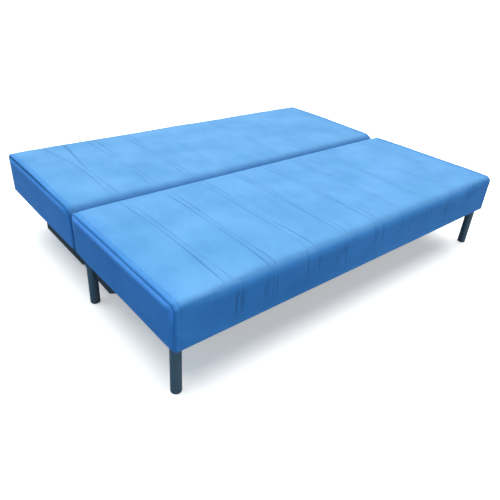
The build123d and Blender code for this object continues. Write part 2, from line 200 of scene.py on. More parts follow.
def velvet_material():
    """Velvet whose colour is paler on top as painted light and darker on the sides as painted
    shade, both brushed in patches. Rolled edges get a painted highlight and creases painted shade.
    Fibre grain shows in the bump and a little in the sheen."""
    made, shader = plain_material("blue_velvet", (0.1, 0.3, 0.7), 0.86)
    nodes, links = made.node_tree.nodes, made.node_tree.links
    coords = nodes.new("ShaderNodeTexCoord").outputs["Object"]
    patches = noise(nodes, links, coords, 3.2, 3, (1, 1.6, 1.6))
    pile = noise(nodes, links, coords, 900, 2)
    lit_top_pile = ramp(nodes, links, patches, *LIT_TOP_PILE, (0.35, 0.65))
    shaded_side_pile = ramp(nodes, links, patches, *SHADED_SIDE_PILE, (0.35, 0.65))
    # painted light: the lit top colour and the shaded side colour are mixed by a point attribute
    painted_top_light = attribute_mix(nodes, links, "painted_top_light", shaded_side_pile, lit_top_pile)
    # painted highlight on the rolled edges, by the roll attribute
    highlighted = attribute_mix(nodes, links, "roll", painted_top_light, PAINTED_HIGHLIGHT_PILE)
    # painted shade in the creases, by a point attribute
    painted_crease_shade = attribute_mix(nodes, links, "painted_crease_shade", highlighted, CREASE_SHADE_PILE)
    fibre = nodes.new("ShaderNodeMix")
    fibre.data_type = "RGBA"
    fibre.blend_type = "MULTIPLY"
    fibre.inputs["Factor"].default_value = 0.5
    marks = noise(nodes, links, coords, 15, 6, (1, 0.6, 0.8))
    brushed = nodes.new("ShaderNodeMix")
    brushed.data_type = "RGBA"
    brushed.blend_type = "MULTIPLY"
    brushed.inputs["Factor"].default_value = 0.6
    links.new(painted_crease_shade, brushed.inputs["A"])
    links.new(ramp(nodes, links, marks, *BRUSH_MARKS, (0.38, 0.56)), brushed.inputs["B"])
    links.new(brushed.outputs["Result"], fibre.inputs["A"])
    links.new(ramp(nodes, links, pile, *FIBRE_SHADES), fibre.inputs["B"])
    links.new(fibre.outputs["Result"], shader.inputs["Base Color"])
    bump = nodes.new("ShaderNodeBump")
    bump.inputs["Strength"].default_value = 0.25
    bump.inputs["Distance"].default_value = 0.0006
    links.new(pile, bump.inputs["Height"])
    links.new(bump.outputs["Normal"], shader.inputs["Normal"])
    shader.inputs["Sheen Weight"].default_value = 0.12
    shader.inputs["Sheen Roughness"].default_value = 0.45
    shader.inputs["Sheen Tint"].default_value = (0.80, 0.90, 1.0, 1)
    shader.inputs["Specular IOR Level"].default_value = 0.2
    return made


velvet = velvet_material()

# ---------------------------------------------------------------- upholstered sections
# Each section wears one main panel that wraps its rear, top and front and is stapled under
# the frame, with a flat panel sewn in at each end. Pairs of tucks run across every 181 mm.

MM = 0.001
near_corner, far_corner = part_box("seat_end_panel_right")
HALF = far_corner[0] / MM
UNDER = near_corner[2] / MM
TOP = far_corner[2] / MM
SEAT_Y = (near_corner[1] / MM, far_corner[1] / MM)
BACK_Y = tuple(corner[1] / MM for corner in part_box("back_end_panel_right"))
VALLEY_Y = (SEAT_Y[1] + BACK_Y[0]) / 2

# radii of the two long edges, front then rear, at the sewn ends and along the middle
END_RADII = {"seat": (24, 24), "back": (62, 14)}
MIDDLE_RADII = {"seat": (44, 22), "back": (64, 24)}
HEM_R = 5
FLAP = 38
END_R = 13
SEAM_IN = END_R * (1 - math.cos(math.radians(45)))
CLOTH = 2.4
TUCK_STEP = 181
TUCKS = -697 + TUCK_STEP * np.arange(9)
TUCK_HALF = 11
TUCK_DEPTH = 1.5
FOLD_DEPTH = 1.8
FOLD_SPREAD = 52
STITCH_IN = 19
CROWN = 5
REAR_LIFT = {"seat": 0, "back": 9}
FULL_TURN = 6.28

# painted light and shade: highlight of the rolled edge near the seam and all over, painted light
# on top, and the least painted light on the upright faces
EDGE_HIGHLIGHT = {"seat": (1.0, 0.0), "back": (0.1, 0.25)}
TOP_PAINTED_LIGHT = {"seat": 0.92, "back": 1.0}
FACE_PAINTED_LIGHT = 0.1

# how deep each pair of tucks is, from the left end to the right
TUCK_POWER = {
    "seat": (1.0, 1.0, 0.95, 0.9, 0.75, 0.6, 0.5, 0.45, 0.15),
    "back": (0.8, 0.6, 0.5, 0.3, 0.2, 0.25, 0.3, 0.25, 0.1),
}

# cloth simulation: grid step and cap in millimetres, pressure, slack as a share, and frames
SIM_STEP = 11
SIM_MOST = 2.4
SIM_PRESSURE = 1.6
SIM_SLACK = 0.004
SIM_FRAMES = 12


def wrap_outline(y, radii, rows):
    """Cover outline from the rear flap over the top to the front flap, as straights and arcs.
    Each straight has the stated rows of points and a constant normal; each arc is centre plus
    radius times its normal, which turns evenly."""
    y0, y1 = y
    front, rear = radii
    corners = [
        ((y1 - HEM_R, UNDER + HEM_R), HEM_R, -90),
        ((y1 - rear, TOP - rear), rear, 0),
        ((y0 + front, TOP - front), front, 90),
        ((y0 + HEM_R, UNDER + HEM_R), HEM_R, 180),
    ]
    points, normals = [], []
    last = np.array([y1 - FLAP, UNDER])
    flat, arc = rows[0::2], rows[1::2]
    for (centre, radius, start), straight, bend in zip(corners, flat, arc):
        angle = np.radians(start + 90 * np.arange(bend + 1) / bend)
        turn = np.stack([np.cos(angle), np.sin(angle)], 1)
        curve = np.array(centre) + radius * turn
        t = (np.arange(straight) / straight)[:, None]
        points += [last + (curve[0] - last) * t, curve[:-1]]
        normals += [np.repeat(turn[:1], straight, 0), turn[:-1]]
        last = curve[-1]
    end = np.array([y0 + FLAP, UNDER])
    t = (np.arange(flat[4] + 1) / flat[4])[:, None]
    points.append(last + (end - last) * t)
    normals.append(np.repeat([[0.0, -1.0]], flat[4] + 1, 0))
    return np.concatenate(points), np.concatenate(normals)


def bump_at(d, width):
    """Bell curve: one at zero distance, falling with the square of distance over width."""
    return np.exp(-((d / width) ** 2))


def smooth_step(t):
    """Zero below 0, one above 1, and three t squared less two t cubed between."""
    t = np.clip(t, 0, 1)
    return t * t * (3 - 2 * t)


def columns():
    """Places along the length: close together at each tuck and at the ends, wide between."""
    near = [np.linspace(-34, -18, 4), np.linspace(-16, 16, 17), np.linspace(18, 34, 4)]
    near = np.concatenate(near)
    places = [tuck + near for tuck in TUCKS]
    gaps = np.concatenate([[-HALF + 46], TUCKS, [HALF - 46]])
    for a, b in zip(gaps[:-1], gaps[1:]):
        wide = b - a > 100
        places.append(np.linspace(a, b, 13)[3:-3] if wide else np.linspace(a, b, 7)[4:-1])
    edge = HALF - np.array([42, 36, 31, 27, 24, 21, 18, 15, 12.5, 10.5])
    places += [edge, -edge]
    turn = np.radians(np.linspace(5, 45, 7))
    rounding = HALF - END_R + END_R * np.sin(turn)
    places += [rounding, -rounding]
    return np.unique(np.round(np.concatenate(places), 3))


def tuck_lines(run, spread, seed):
    """Half width of each pair of tucks along the run from rear (0) to front (1) and down the
    front face (to 2): narrow in the middle, opening towards both edges by its own spread."""
    rng = np.random.default_rng(seed)
    count = len(TUCKS)
    ends = rng.uniform(0.7, 1.3, (count, 2))
    wander = rng.uniform(-1, 1, (count, 3))
    rear = bump_at(run[:, None], 0.35) * (spread * ends[:, 0])
    front = smooth_step((run[:, None] - 0.55) / 0.5) * 9 * ends[:, 1]
    half = TUCK_HALF - 3 + rear + front
    slow = 2.5 * np.sin(3 * run[:, None] + 6 * wander[:, 0])
    quick = 1.5 * np.sin(9 * run[:, None] + 6 * wander[:, 1])
    return half, slow + quick


def corner_drop(inward, from_edge):
    """How far a top corner sinks: a bell of the distance from the corner in plan."""
    return 2.0 * bump_at(np.hypot(inward, from_edge * 0.8), 50)


def grid_faces(rows, cols):
    """Quads of a grid, wound so that rows run against the columns' left-hand side."""
    at = np.arange(rows * cols).reshape(rows, cols)
    return np.stack([at[:-1, :-1], at[:-1, 1:], at[1:, 1:], at[1:, :-1]], -1).reshape(-1, 4)


def fractional(places, stations):
    """Index of the station before each place and the fraction of the way to the next one."""
    before = np.clip(np.searchsorted(stations, places, side="right") - 1, 0, len(stations) - 2)
    return before, np.clip((places - stations[before]) / np.diff(stations)[before], 0, 1)


def spread_over(values, stations, places):
    """Values on a coarse grid of two lists of stations, blended linearly to finer places."""
    row, t = fractional(places[0], stations[0])
    column, u = fractional(places[1], stations[1])
    t, u = t[:, None, None], u[None, :, None]
    upper = values[row][:, column] * (1 - u) + values[row][:, column + 1] * u
    lower = values[row + 1][:, column] * (1 - u) + values[row + 1][:, column + 1] * u
    return upper * (1 - t) + lower * t


def settled(grid, sewn):
    """How far each point of a grid of cloth moves when the foam presses it outwards and the
    sewn points hold: a cloth simulation with no gravity, whose movement is softly capped. The
    cloth is cut larger by the slack."""
    trial = mesh_piece("cloth_trial", grid.reshape(-1, 3) * MM, grid_faces(*grid.shape[:2]))
    held = trial.vertex_groups.new(name="sewn")
    held.add(np.flatnonzero(sewn.ravel()).tolist(), 1.0, "ADD")
    cloth = trial.modifiers.new("settle", "CLOTH")
    cloth.settings.quality = 5
    cloth.settings.mass = 0.3
    cloth.settings.tension_stiffness = 20
    cloth.settings.compression_stiffness = 20
    cloth.settings.bending_stiffness = 0.8
    cloth.settings.air_damping = 4
    cloth.settings.vertex_group_mass = "sewn"
    cloth.settings.shrink_min = -SIM_SLACK
    cloth.settings.use_pressure = True
    cloth.settings.uniform_pressure_force = SIM_PRESSURE
    cloth.settings.effector_weights.gravity = 0
    cloth.point_cache.frame_end = SIM_FRAMES
    for step in range(1, SIM_FRAMES + 1):
        scene.frame_set(step)
    shape = trial.evaluated_get(bpy.context.evaluated_depsgraph_get()).to_mesh()
    moved = np.empty(grid.size)
    shape.vertices.foreach_get("co", moved)
    moved = moved.reshape(grid.shape) / MM - grid
    bpy.data.objects.remove(trial)
    scene.frame_set(1)
    length = np.linalg.norm(moved, axis=-1, keepdims=True)
    return moved * np.tanh(length / SIM_MOST) * SIM_MOST / np.maximum(length, 1e-6)


def panel_cloth(name, y, seed):
    """Movement of the main panel between its tucks, on a coarse grid, with the rows' places
    along the outline and the columns' places along the bed."""
    outline, normals = wrap_outline(y, MIDDLE_RADII[name], (2, 2, 14, 5, 60, 6, 13, 2, 2))
    along = np.concatenate([[0], np.cumsum(np.linalg.norm(np.diff(outline, axis=0), axis=1))])
    gaps = np.concatenate([[-HALF - TUCK_HALF + 6], TUCKS, [HALF + TUCK_HALF - 6]])
    between = [
        np.linspace(a + TUCK_HALF, b - TUCK_HALF, max(5, round((b - a) / SIM_STEP)))
        for a, b in zip(gaps, gaps[1:])
    ]
    x = np.concatenate(between)
    rng = np.random.default_rng(seed)
    grid = np.empty((len(outline), len(x), 3))
    grid[..., 0] = x
    uneven = 0.4 * rng.standard_normal(grid.shape[:2])
    grid[..., 1:] = outline[:, None] + normals[:, None] * uneven[..., None]
    on_tuck = (np.abs(np.abs(x[:, None] - TUCKS) - TUCK_HALF) < 0.5).any(1)
    place, height = outline[:, :1], outline[:, 1:]
    in_top = (height > TOP - 5) & (place > y[0] + 60) & (place < y[1] - 30)
    under = height < UNDER + HEM_R + 1
    at_end = np.abs(x) > HALF - 8
    sewn = (on_tuck & in_top) | under | at_end
    return settled(grid, sewn), along, x


def cut_tucks(level, painted_crease_shade, shift, name, x, run, lines, strength, rng):
    """Sink both lines of every pair of tucks into the level, mark them with painted shade, and
    shift the columns so that they follow the lines. The strip between the lines stands up."""
    half, sway = lines
    for i, tuck in enumerate(TUCKS):
        d = x - tuck
        for side in (-1, 1):
            power = TUCK_POWER[name][i] * rng.uniform(0.8, 1.15)
            off = d - side * TUCK_HALF
            inner = np.clip(1 - np.abs(off) / (2 * TUCK_HALF), 0, 1)
            outer = np.clip(1 - np.abs(off) / 60, 0, 1)
            hat = np.where(off * side < 0, inner, outer)
            shift += (side * (half[:, i, None] - TUCK_HALF) + sway[:, i, None]) * hat
            groove = bump_at(off, 1.6) * 0.85 + bump_at(off, 6) * 0.15
            slow = 0.72 + 0.34 * np.sin(9 * run[:, None] + rng.uniform(0, 6))
            level -= TUCK_DEPTH * power * groove * strength[:, None] * slow
            # painted shade along each tuck line
            dark = bump_at(off, 1.9) * 0.8 * power * strength[:, None] * slow
            np.maximum(painted_crease_shade, dark, out=painted_crease_shade)
        level += 0.6 * TUCK_POWER[name][i] * bump_at(d, 8) * strength[:, None]


def front_folds(level, painted_crease_shade, x, run, front_face, rng):
    """Short folds that hang from the tucks over the front edge: five beside each pair, each with
    painted shade along its line.
    """
    for tuck in TUCKS:
        for offset in rng.uniform(-FOLD_SPREAD, FOLD_SPREAD, 5):
            mid, reach = rng.uniform(1.22, 1.5), rng.uniform(0.1, 0.3)
            depth_here = rng.uniform(0.4, 1) * bump_at(run - mid, reach) * front_face
            fold = x - tuck - offset
            level -= FOLD_DEPTH * depth_here[:, None] * bump_at(fold, 3.0)
            np.maximum(painted_crease_shade, 0.8 * depth_here[:, None] * bump_at(fold, 2.2), out=painted_crease_shade)


def end_seams(level, painted_crease_shade, inward, along, on_top, rng):
    """Puckers beside the end seams, the stitched line inside each end, the rounding towards
    the seam, and the seam's own groove. The stitched line and the groove get painted shade."""
    pucker = rng.uniform(0, FULL_TURN, 3)
    ripple = np.sin(0.19 * along + pucker[0]) + 0.7 * np.sin(0.33 * along + pucker[1])
    ripple = (ripple * (0.6 + 0.4 * np.sin(0.021 * along + pucker[2])))[:, None]
    level += 0.55 * ripple * bump_at(inward - 7, 8)
    level -= (1.3 + 0.3 * ripple) * bump_at(inward - STITCH_IN, 4.5)
    level += 0.8 * bump_at(inward - 10, 4.5)
    # painted shade along the stitched line
    stitch_shade = 0.3 * bump_at(inward - STITCH_IN, 3) * (1 + 0.4 * ripple) * on_top[:, None]
    np.maximum(painted_crease_shade, stitch_shade, out=painted_crease_shade)
    inset = END_R - np.sqrt(np.maximum(END_R**2 - np.maximum(0, END_R - inward) ** 2, 0))
    seam = inward - SEAM_IN
    level -= inset + 1.1 * bump_at(seam, 2.4)
    # painted shade in the seam groove
    np.maximum(painted_crease_shade, 0.35 * bump_at(seam, 1.6), out=painted_crease_shade)


def wrap_points(name, y, rows, spread, seed, fade_rear):
    """Grid of the main panel, with its painted light and shade. A point is the outline's point for
    its row, moved out along the row's normal by crown, tucks, puckers at the end seams and slow
    waves, less the rounding towards the end seam."""
    points, normals = wrap_outline(y, MIDDLE_RADII[name], rows)
    end_points, end_normals = wrap_outline(y, END_RADII[name], rows)
    x = columns()
    step = np.linalg.norm(np.diff(points, axis=0), axis=1)
    along = np.concatenate([[0], np.cumsum(step)])
    y0, y1 = y
    depth = y1 - y0
    on_top = smooth_step((normals[:, 1] - 0.2) / 0.8)
    run = np.where(normals[:, 1] > -0.5, (y1 - points[:, 0]) / depth, 0)
    front_face = (normals[:, 0] < -0.5) | ((normals[:, 1] < 0) & (points[:, 0] < (y0 + y1) / 2))
    down = np.clip((TOP - points[:, 1]) / (TOP - UNDER), 0, 1)
    run = np.where(front_face, 1 + down, run)
    rear_face = (normals[:, 0] > 0.5) | ((normals[:, 1] < 0) & (points[:, 0] > (y0 + y1) / 2))

    # tuck strength: full over the top, fading down the front and the rear faces
    strength = np.where(front_face, 0.35 * (1 - smooth_step(down * 1.6)), 1.0)
    strength = strength * (0.3 + 0.7 * smooth_step((points[:, 0] - y0 - 10) / 45))
    strength = np.where(rear_face, 1 - smooth_step(down * fade_rear), strength)
    from_valley = np.abs(points[:, 0] - VALLEY_Y)
    strength = strength * (0.25 + 0.75 * smooth_step((from_valley - 25) / 110))

    rng = np.random.default_rng(seed + 1)
    level, painted_crease_shade, shift = (np.zeros((len(points), len(x))) for _ in range(3))
    lines = tuck_lines(run, spread, seed)
    cut_tucks(level, painted_crease_shade, shift, name, x, run, lines, strength, rng)

    # crown over the whole top, and slow uneven waves
    across = np.clip(run, 0, 1)
    crown = (1 - (2 * across - 1) ** 4)[:, None] * (1 - (x / HALF) ** 8)
    level += CROWN * crown * on_top[:, None]
    lift = REAR_LIFT[name] * smooth_step((1 - across) * 1.6)[:, None]
    lift = lift * (0.55 + 0.45 * (1 - (x / HALF) ** 6))
    level += lift * on_top[:, None]
    waves = rng.uniform(0, FULL_TURN, 4)
    far = along[:, None]
    level += 0.9 * np.sin(0.011 * x + waves[0]) * np.sin(0.012 * far + waves[1])
    level += 0.4 * np.sin(0.031 * x + waves[2] + 0.01 * far) * np.sin(0.027 * far + waves[3])
    front_folds(level, painted_crease_shade, x, run, front_face, rng)

    # the four corners of the top drop
    inward = HALF - np.abs(x)
    for corner in (y0, y1):
        level -= corner_drop(inward, points[:, :1] - corner) * on_top[:, None]
    end_seams(level, painted_crease_shade, inward, along, on_top, rng)
    level = np.where(normals[:, 1:] < -0.5, np.minimum(level, 0) * 0.3, level)

    # the two sections stay calm and low beside the hinge line, so that they fold without rubbing
    calm = 0.1 + 0.9 * smooth_step((from_valley[:, None] - 20) / 90)
    level = np.where(level > 0, level * calm, level)

    # the edge radius is tighter at the sewn ends than along the middle
    tight = bump_at(inward, 130)[:, None]
    base = points[:, None] * (1 - tight) + end_points[:, None] * tight
    out = normals[:, None] * (1 - tight) + end_normals[:, None] * tight
    grid = np.empty((len(points), len(x), 3))
    grid[..., 0] = x + shift * (1 - bump_at(inward, 30))
    grid[..., 1:] = base + out * level[..., None]
    moved, rows_at, columns_at = panel_cloth(name, y, seed)
    grid += spread_over(moved, (rows_at, columns_at), (along, x)) * calm[..., None]

    # painted light on top, less near the ends; painted shade deepens along the back's valley edge
    painted_top_light = smooth_step((normals[:, 1:] - 0.35) / 0.6) * (1 - 0.35 * bump_at(inward, 42))
    painted_top_light = painted_top_light * (1 - 0.75 * bump_at(inward - 5, 15))
    painted_top_light = np.maximum(painted_top_light * TOP_PAINTED_LIGHT[name], FACE_PAINTED_LIGHT)
    # painted shade along the back's valley edge
    valley_shade = smooth_step((58 - from_valley) / 50) * (TOP - points[:, 1] > 2) * (name == "back")
    painted_crease_shade = np.maximum(painted_crease_shade, 0.6 * valley_shade[:, None])
    return grid, {"painted_crease_shade": np.clip(painted_crease_shade, 0, 1), "painted_top_light": painted_top_light}


def cloth_piece(name, grid, shades, body, replaced, flip=False):
    """A piece of cover cloth from its outer surface: painted light and shade values by name at
    each point, thickness inwards by Solidify, and the calls that tie it to its body and hide the
    solid it replaces."""
    faces = grid_faces(*grid.shape[:2])
    if flip:
        faces = faces[:, ::-1]
    piece = mesh_piece(name, grid.reshape(-1, 3) * MM, faces)
    for label, values in shades.items():
        attribute = piece.data.attributes.new(label, "FLOAT", "POINT")
        attribute.data.foreach_set("value", values.ravel().astype(np.float32))
    piece.data.materials.append(velvet)
    wall = piece.modifiers.new("cloth_thickness", "SOLIDIFY")
    wall.thickness = CLOTH * MM
    wall.offset = -1
    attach(piece, body)
    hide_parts(replaced)
    return piece


def end_panel_points(y, radii, side, seed, roll):
    """Grid of an end panel, with its painted shade and painted highlight. Columns run down from
    the rounded top outline to the hem and in under the frame. The panel stands out from its seams
    on a small radius, and bulges most 15 mm below the top seam."""
    y0, y1 = y
    front, rear = radii
    a = np.radians(np.linspace(0, 90, 13))
    lead = y0 + front * (1 - np.cos(a))
    tail = y1 - rear * (1 - np.cos(a))
    middle = np.linspace(lead[-1], tail[-1], 90)[1:-1]
    ys = np.concatenate([lead, middle, tail[::-1]])
    sunk = 1 - np.sin(a)
    flat_top = np.full(len(middle), TOP)
    tops = np.concatenate([TOP - front * sunk, flat_top, (TOP - rear * sunk)[::-1]])
    lower = UNDER + HEM_R
    t = np.concatenate([np.linspace(0, 0.12, 10), np.linspace(0.12, 1, 34)[1:]])
    z = tops - t[:, None] * (tops - lower)
    yy = np.broadcast_to(ys, z.shape).copy()

    # distance in from the outline, along the rounded top and both upright edges
    def inside(radius, edge, sign):
        across = np.maximum(0, radius - sign * (yy - edge))
        up = np.maximum(0, z - (TOP - radius))
        return radius - np.hypot(across, up), (across > 0) & (up > 0)

    plain = np.minimum(np.minimum(TOP - z, yy - y0), y1 - yy)
    first, in_first = inside(front, y0, 1)
    second, in_second = inside(rear, y1, -1)
    e = np.where(in_first, first, np.where(in_second, second, plain))
    e = np.maximum(e, 0)

    # pull the rim in to the seam, where the main panel ends at 45 degrees of the edge radius
    e_in = SEAM_IN + e * (1 - SEAM_IN / np.maximum(e.max(), 1))
    centre_y, centre_z = (y0 + y1) / 2, (UNDER + TOP) / 2
    rim = bump_at(e, 30)
    yy = yy + rim * SEAM_IN * np.clip((centre_y - yy) / 40, -1, 1) * (np.abs(yy - centre_y) > 1)
    z = z - rim * SEAM_IN * smooth_step((z - centre_z) / 40)

    out = HALF - END_R + np.sqrt(END_R**2 - np.maximum(0, END_R - e_in) ** 2)
    below = TOP - z
    bulge = smooth_step(e / 17) * (1.6 + 4.4 * bump_at(below - 15, 24))
    bulge = bulge * smooth_step((yy - y0) / 50) * smooth_step((y1 - yy) / 50)
    rng = np.random.default_rng(seed)
    phase = rng.uniform(0, FULL_TURN, 4)
    along = yy - y0
    ripple = np.sin(0.17 * along + phase[0]) + 0.6 * np.sin(0.29 * along + phase[1])
    out += bulge + 0.45 * ripple * bump_at(e - 8, 10)
    slow = np.sin(0.013 * along + phase[2]) * np.sin(0.02 * z + phase[3])
    out += 0.8 * slow * smooth_step(e / 30)
    out -= 0.9 * bump_at(e, 2.5)
    # painted shade along the seam at the panel's rim
    painted_crease_shade = 0.3 * bump_at(e, 2.0)
    # painted highlight on the rounded band under the top seam, and a little all over the back's
    # end panels
    highlighted = roll[0] * bump_at(e - 6, 19) * smooth_step((z - centre_z) / 50) + roll[1]

    # hem: a quarter turn under the frame, then a short flap
    turn = np.radians(np.linspace(0, 90, 6))[1:, None]
    base = out[-1]
    hem_x = base - HEM_R * (1 - np.cos(turn))
    hem_z = np.broadcast_to(UNDER + HEM_R - HEM_R * np.sin(turn), hem_x.shape)
    flap_x = base - HEM_R - np.array([[6.0], [12.0], [18.0]])
    flap_z = np.full(flap_x.shape, UNDER)
    below_hem = len(hem_x) + len(flap_x)
    x_all = np.concatenate([out, hem_x, flap_x])
    y_all = np.concatenate([yy, np.repeat(yy[-1:], below_hem, 0)])
    z_all = np.concatenate([z, hem_z, flap_z])
    no_shade = np.zeros((below_hem, len(ys)))
    shades = {
        "painted_crease_shade": np.concatenate([painted_crease_shade, no_shade]),
        "roll": np.concatenate([highlighted, no_shade]),
    }
    return np.stack([side * x_all, y_all, z_all], -1), shades


# y range, points along the outline, spread of the tucks at the rear, seed, and how soon the
# tucks fade down the rear face
SECTIONS = {
    "seat": (SEAT_Y, (2, 4, 8, 8, 46, 12, 26, 4, 2), np.full(9, 6.0), 21, 3.0),
    "back": (
        BACK_Y,
        (2, 4, 12, 12, 44, 14, 14, 4, 2),
        np.array([62, 14, 12, 10, 8, 8, 8, 8, 8.0]),
        34,
        1.3,
    ),
}

for name, (y, rows, spread, seed, fade_rear) in SECTIONS.items():
    grid, shades = wrap_points(name, y, rows, spread, seed, fade_rear)
    wrap = cloth_piece(f"{name}_main_panel", grid, shades, name, f"{name}_cover")
    for side, end in ((-1, "left"), (1, "right")):
        grid, shades = end_panel_points(y, END_RADII[name], side, seed + side, EDGE_HIGHLIGHT[name])
        replaced = f"{name}_end_panel_{end}"
        panel = cloth_piece(f"{name}_{end}_panel", grid, shades, name, replaced, flip=side > 0)

# ---------------------------------------------------------------- foam, felt and dust cloth
# Under the velvet lies one block of open-cell foam on a needle-felt pad. A thin spun cloth,
# stapled under the frame, hides the timber and hangs a few millimetres inside its edge.


def speckle_group():
    """Shader group: fine noise of a given scale, put out as a colour between dark and light,
    as a height for bump and as a mask."""
    group = bpy.data.node_groups.new("fine_speckle", "ShaderNodeTree")
    face = group.interface
    for label, kind in (
        ("Vector", "NodeSocketVector"),
        ("Scale", "NodeSocketFloat"),
        ("Dark", "NodeSocketColor"),
        ("Light", "NodeSocketColor"),
    ):
        face.new_socket(label, in_out="INPUT", socket_type=kind)
    for label, kind in (
        ("Colour", "NodeSocketColor"),
        ("Height", "NodeSocketFloat"),
        ("Mask", "NodeSocketFloat"),
    ):
        face.new_socket(label, in_out="OUTPUT", socket_type=kind)
    nodes, links = group.nodes, group.links
    given = nodes.new("NodeGroupInput")
    result = nodes.new("NodeGroupOutput")
    fine = nodes.new("ShaderNodeTexNoise")
    fine.inputs["Detail"].default_value = 3
    broad = nodes.new("ShaderNodeTexNoise")
    broad.inputs["Scale"].default_value = 9
    broad.inputs["Detail"].default_value = 4
    blend = nodes.new("ShaderNodeMath")
    blend.operation = "MULTIPLY_ADD"
    blend.inputs[1].default_value = 0.5
    halved = nodes.new("ShaderNodeMath")
    halved.operation = "MULTIPLY"
    halved.inputs[1].default_value = 0.5
    mixed = nodes.new("ShaderNodeMix")
    mixed.data_type = "RGBA"
    links.new(given.outputs["Vector"], fine.inputs["Vector"])
    links.new(given.outputs["Scale"], fine.inputs["Scale"])
    links.new(given.outputs["Vector"], broad.inputs["Vector"])
    links.new(broad.outputs["Fac"], halved.inputs[0])
    links.new(fine.outputs["Fac"], blend.inputs[0])
    links.new(halved.outputs["Value"], blend.inputs[2])
    links.new(blend.outputs["Value"], mixed.inputs["Factor"])
    links.new(given.outputs["Dark"], mixed.inputs["A"])
    links.new(given.outputs["Light"], mixed.inputs["B"])
    links.new(mixed.outputs["Result"], result.inputs["Colour"])
    links.new(fine.outputs["Fac"], result.inputs["Height"])
    links.new(blend.outputs["Value"], result.inputs["Mask"])
    return group


speckle = speckle_group()


def speckled(name, dark, light, scale, bump_depth, rough, metallic=0.0):
    """A material with the speckle group in its colour, its roughness range and its bump."""
    made, shader = plain_material(name, light, sum(rough) / 2)
    nodes, links = made.node_tree.nodes, made.node_tree.links
    effect = nodes.new("ShaderNodeGroup")
    effect.node_tree = speckle
    effect.inputs["Scale"].default_value = scale
    effect.inputs["Dark"].default_value = (*dark, 1)
    effect.inputs["Light"].default_value = (*light, 1)
    links.new(nodes.new("ShaderNodeTexCoord").outputs["Object"], effect.inputs["Vector"])
    links.new(effect.outputs["Colour"], shader.inputs["Base Color"])
    spread_out = nodes.new("ShaderNodeMapRange")
    spread_out.inputs["From Min"].default_value = 0.3
    spread_out.inputs["From Max"].default_value = 0.7
    spread_out.inputs["To Min"].default_value = rough[0]
    spread_out.inputs["To Max"].default_value = rough[1]
    links.new(effect.outputs["Mask"], spread_out.inputs["Value"])
    links.new(spread_out.outputs["Result"], shader.inputs["Roughness"])
    raised = nodes.new("ShaderNodeBump")
    raised.inputs["Strength"].default_value = 0.5
    raised.inputs["Distance"].default_value = bump_depth
    links.new(effect.outputs["Height"], raised.inputs["Height"])
    links.new(raised.outputs["Normal"], shader.inputs["Normal"])
    shader.inputs["Metallic"].default_value = metallic
    return made


foam_material = speckled(
    "cream_foam", (0.62, 0.55, 0.33), (0.85, 0.80, 0.60), 420, 0.0009, (0.85, 0.95)
)
felt_material = speckled(
    "grey_felt", (0.10, 0.10, 0.10), (0.30, 0.29, 0.28), 260, 0.0009, (0.9, 1.0)
)
lining_material = speckled(
    "black_lining", (0.008, 0.008, 0.009), (0.03, 0.03, 0.034), 700, 0.0004, (0.75, 0.9)
)


def block_grid(x, outline):
    """Closed mesh of an outline carried along X: quads between the stations and a fan of
    triangles to the middle of each end."""
    rows, cols = len(outline), len(x)
    grid = np.empty((cols, rows, 3))
    grid[..., 0] = x[:, None]
    grid[..., 1:] = outline
    at = np.arange(cols * rows).reshape(cols, rows)
    ring = np.roll(at, -1, 1)
    sides = np.stack([at[:-1], ring[:-1], ring[1:], at[1:]], -1).reshape(-1, 4)
    middle = outline.mean(0)
    ends = [(x[0], *middle), (x[-1], *middle)]
    caps = [(at[0, (i + 1) % rows], at[0, i], cols * rows) for i in range(rows)]
    caps += [(at[-1, i], at[-1, (i + 1) % rows], cols * rows + 1) for i in range(rows)]
    return np.concatenate([grid.reshape(-1, 3), ends]), sides.tolist() + caps


def foam_block(name, y):
    """Foam of one section: the cover's outline set in by the cloth, cut flat at the felt,
    with the same sinking corners."""
    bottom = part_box(f"{name}_foam")[0][2] / MM
    outline, normals = wrap_outline(y, MIDDLE_RADII[name], (1, 1, 1, 8, 24, 8, 1, 1, 1))
    outline = outline - normals * (CLOTH + 3)
    outline = outline[outline[:, 1] > bottom + 2]
    outline = np.concatenate([[[outline[0, 0], bottom]], outline, [[outline[-1, 0], bottom]]])
    x = np.concatenate([[-HALF + 7], np.linspace(-HALF + 12, HALF - 12, 60), [HALF - 7]])
    points, faces = block_grid(x, outline)
    upper = smooth_step((points[:, 2] - bottom) / (TOP - bottom))
    for edge in y:
        points[:, 2] -= corner_drop(HALF - np.abs(points[:, 0]), points[:, 1] - edge) * upper * 1.3
    piece = mesh_piece(f"{name}_foam_block", points * MM, faces)
    piece.data.materials.append(foam_material)
    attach(piece, name)
    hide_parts(f"{name}_foam")


